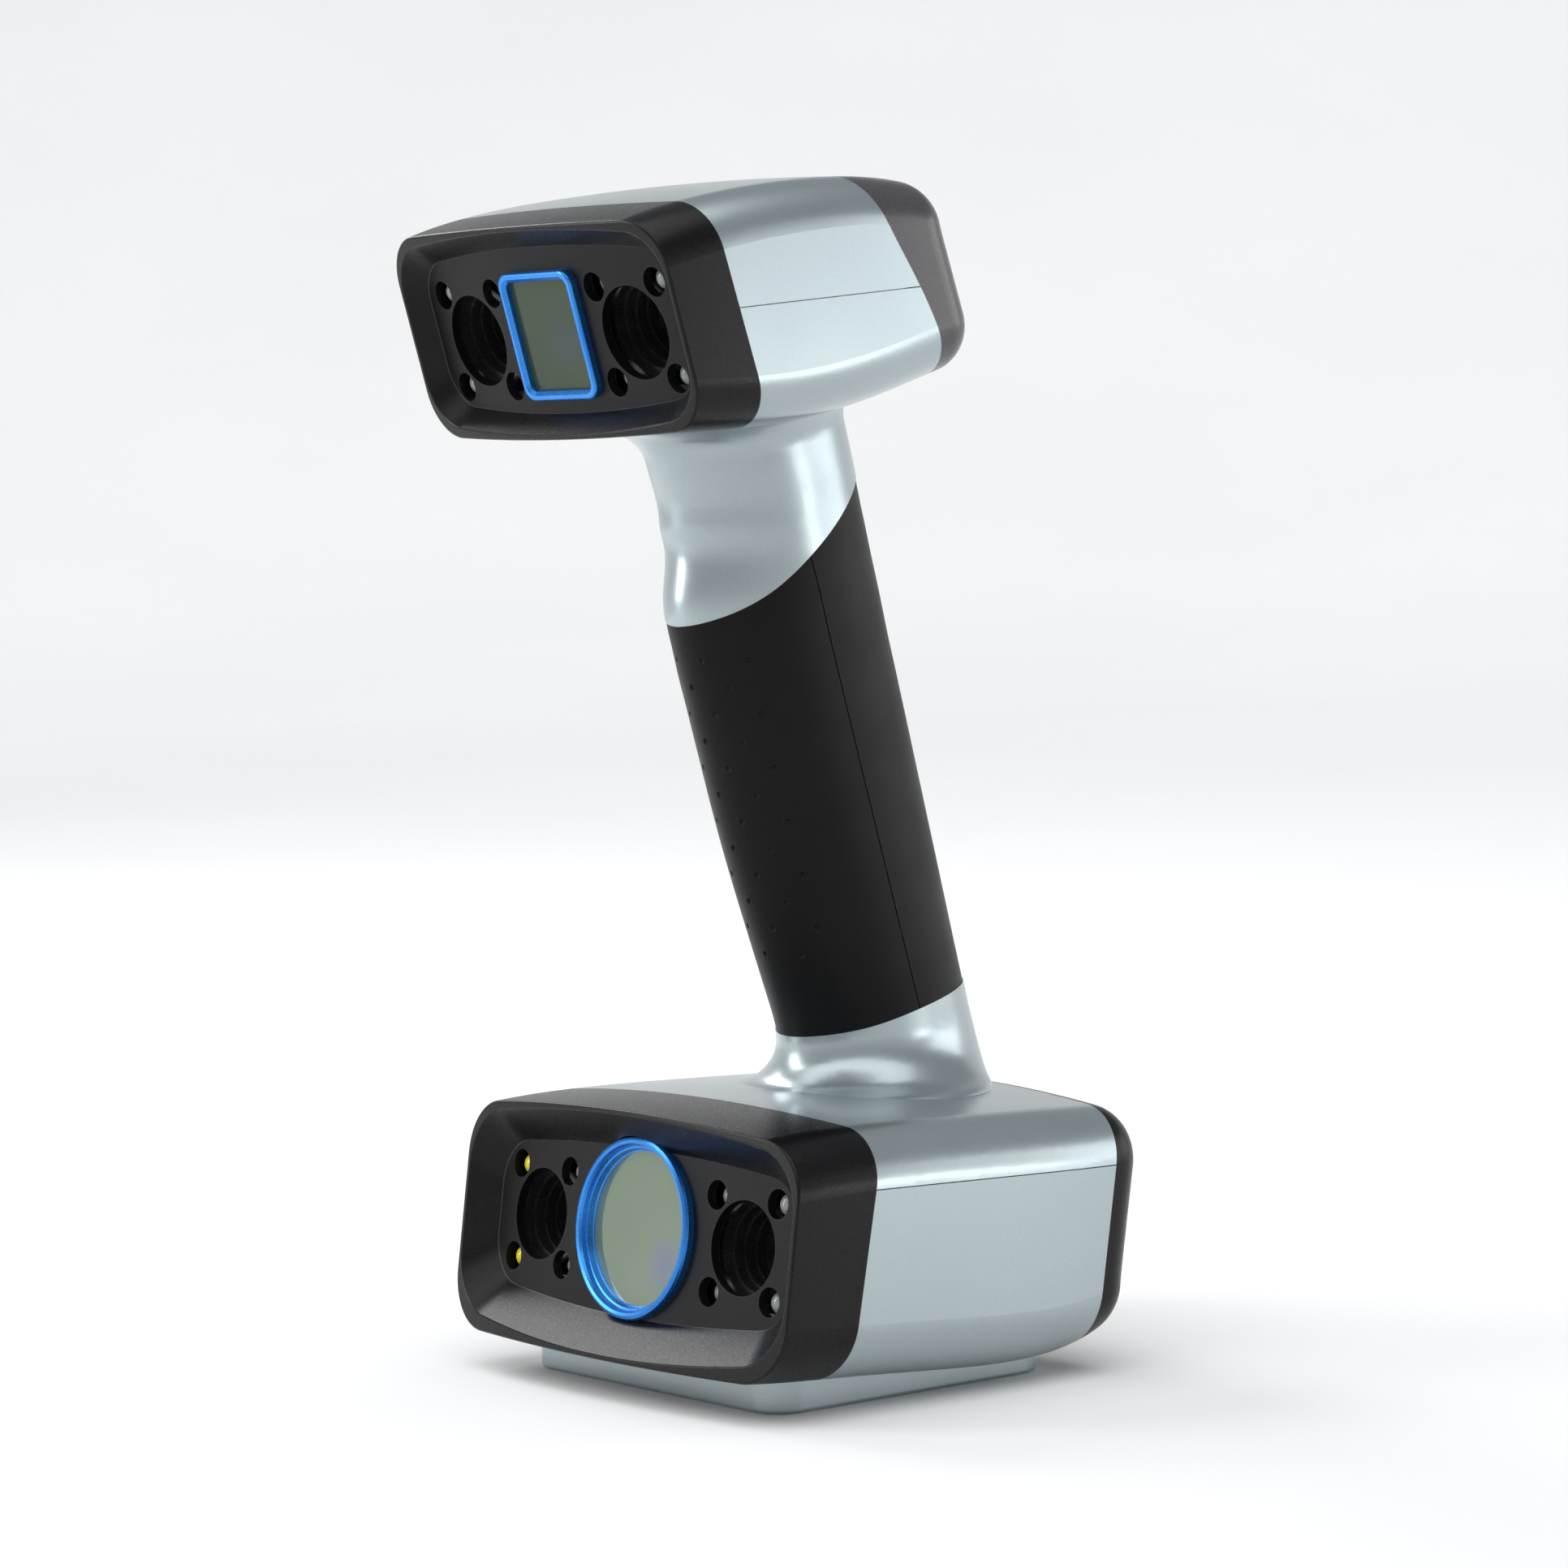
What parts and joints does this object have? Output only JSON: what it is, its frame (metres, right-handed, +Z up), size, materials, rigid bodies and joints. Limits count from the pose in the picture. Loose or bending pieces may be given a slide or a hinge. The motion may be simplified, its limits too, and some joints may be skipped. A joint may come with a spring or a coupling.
{
  "type": "handheld 3d scanner",
  "caption": "Two-headed handheld optical scanner: a leaning grip joins a framed upper scanning head to a wider lower head on a flat pad.",
  "frame": {"origin": "in the base pad's flat underside, midway across it and 33 mm behind its front edge", "axes": "+Z up, -Y towards the scanned object, +X across the heads"},
  "size_m": [0.108, 0.1136, 0.2367],
  "materials": {
    "shell": "glossy silver-blue paint",
    "pad": "silver-blue paint",
    "bezel": "satin black with a fine texture",
    "panel": "satin black",
    "window_metal": "blue anodised",
    "window_glass": "coated olive filter glass",
    "gasket": "matt",
    "barrel": "black anodised",
    "lens_glass": "coated lens",
    "lamp_clear": "clear moulded",
    "lamp_yellow": "yellow moulded",
    "board": "solder mask",
    "chassis": "machined",
    "projector": "black",
    "rear_cover_upper": "graphite satin",
    "rear_cover_lower": "satin black",
    "rear_panel": "polished black",
    "status_light": "frosted",
    "button": "soft black",
    "grip": "soft-touch black",
    "cable": "jacketed",
    "socket_metal": "turned",
    "socket_insert": "moulded",
    "contacts": "gold plated",
    "screw": "blackened"
  },
  "bodies": {
    "body": {"upper_top_shell": "shell", "upper_bottom_shell": "shell", "lower_top_shell": "shell", "lower_bottom_shell": "shell", "base_pad": "pad", "upper_front_bezel": "bezel", "lower_front_bezel": "bezel", "upper_lens_panel": "panel", "lower_lens_panel": "panel", "upper_window_frame": "window_metal", "lower_window_ring": "window_metal", "upper_window_glass": "window_glass", "lower_window_glass": "window_glass", "upper_window_gasket": "gasket", "lower_window_gasket": "gasket", "upper_left_camera_barrel": "barrel", "upper_right_camera_barrel": "barrel", "lower_left_camera_barrel": "barrel", "lower_right_camera_barrel": "barrel", "upper_camera_lenses": "lens_glass", "lower_camera_lenses": "lens_glass", "upper_lamps": "lamp_clear", "lower_lamps": "lamp_clear", "marker_lamps": "lamp_yellow", "upper_sensor_boards": "board", "lower_sensor_boards": "board", "upper_lamp_boards": "board", "lower_lamp_boards": "board", "button_board": "board", "main_board": "board", "upper_chassis": "chassis", "lower_chassis": "chassis", "projector_heat_sink": "chassis", "handle_core": "chassis", "pattern_projector": "projector", "line_projector": "projector", "upper_rear_cover": "rear_cover_upper", "lower_rear_cover": "rear_cover_lower", "rear_button_panel": "rear_panel", "status_light": "status_light", "grip_front_cover": "grip", "grip_rear_cover": "grip", "handle_cable": "cable", "cable_socket_collar": "socket_metal", "cable_socket_insert": "socket_insert", "cable_socket_contacts": "contacts", "upper_chassis_screws": "screw", "lower_chassis_screws": "screw", "rear_cover_screws": "screw", "base_pad_screws": "screw"},
    "scan_button": {"scan_button": "button"},
    "plus_button": {"plus_button": "button"},
    "minus_button": {"minus_button": "button"}
  },
  "joints": [
    {"name": "scan_button_press", "type": "slide", "parent": "body", "child": "scan_button", "axis": [0, -0.9518, -0.3066], "range_m": [0, 0.0008], "stiffness_N_per_m": 1500},
    {"name": "plus_button_press", "type": "slide", "parent": "body", "child": "plus_button", "axis": [0, -0.9518, -0.3066], "range_m": [0, 0.0008], "stiffness_N_per_m": 1500},
    {"name": "minus_button_press", "type": "slide", "parent": "body", "child": "minus_button", "axis": [0, -0.9518, -0.3066], "range_m": [0, 0.0008], "stiffness_N_per_m": 1500}
  ]
}
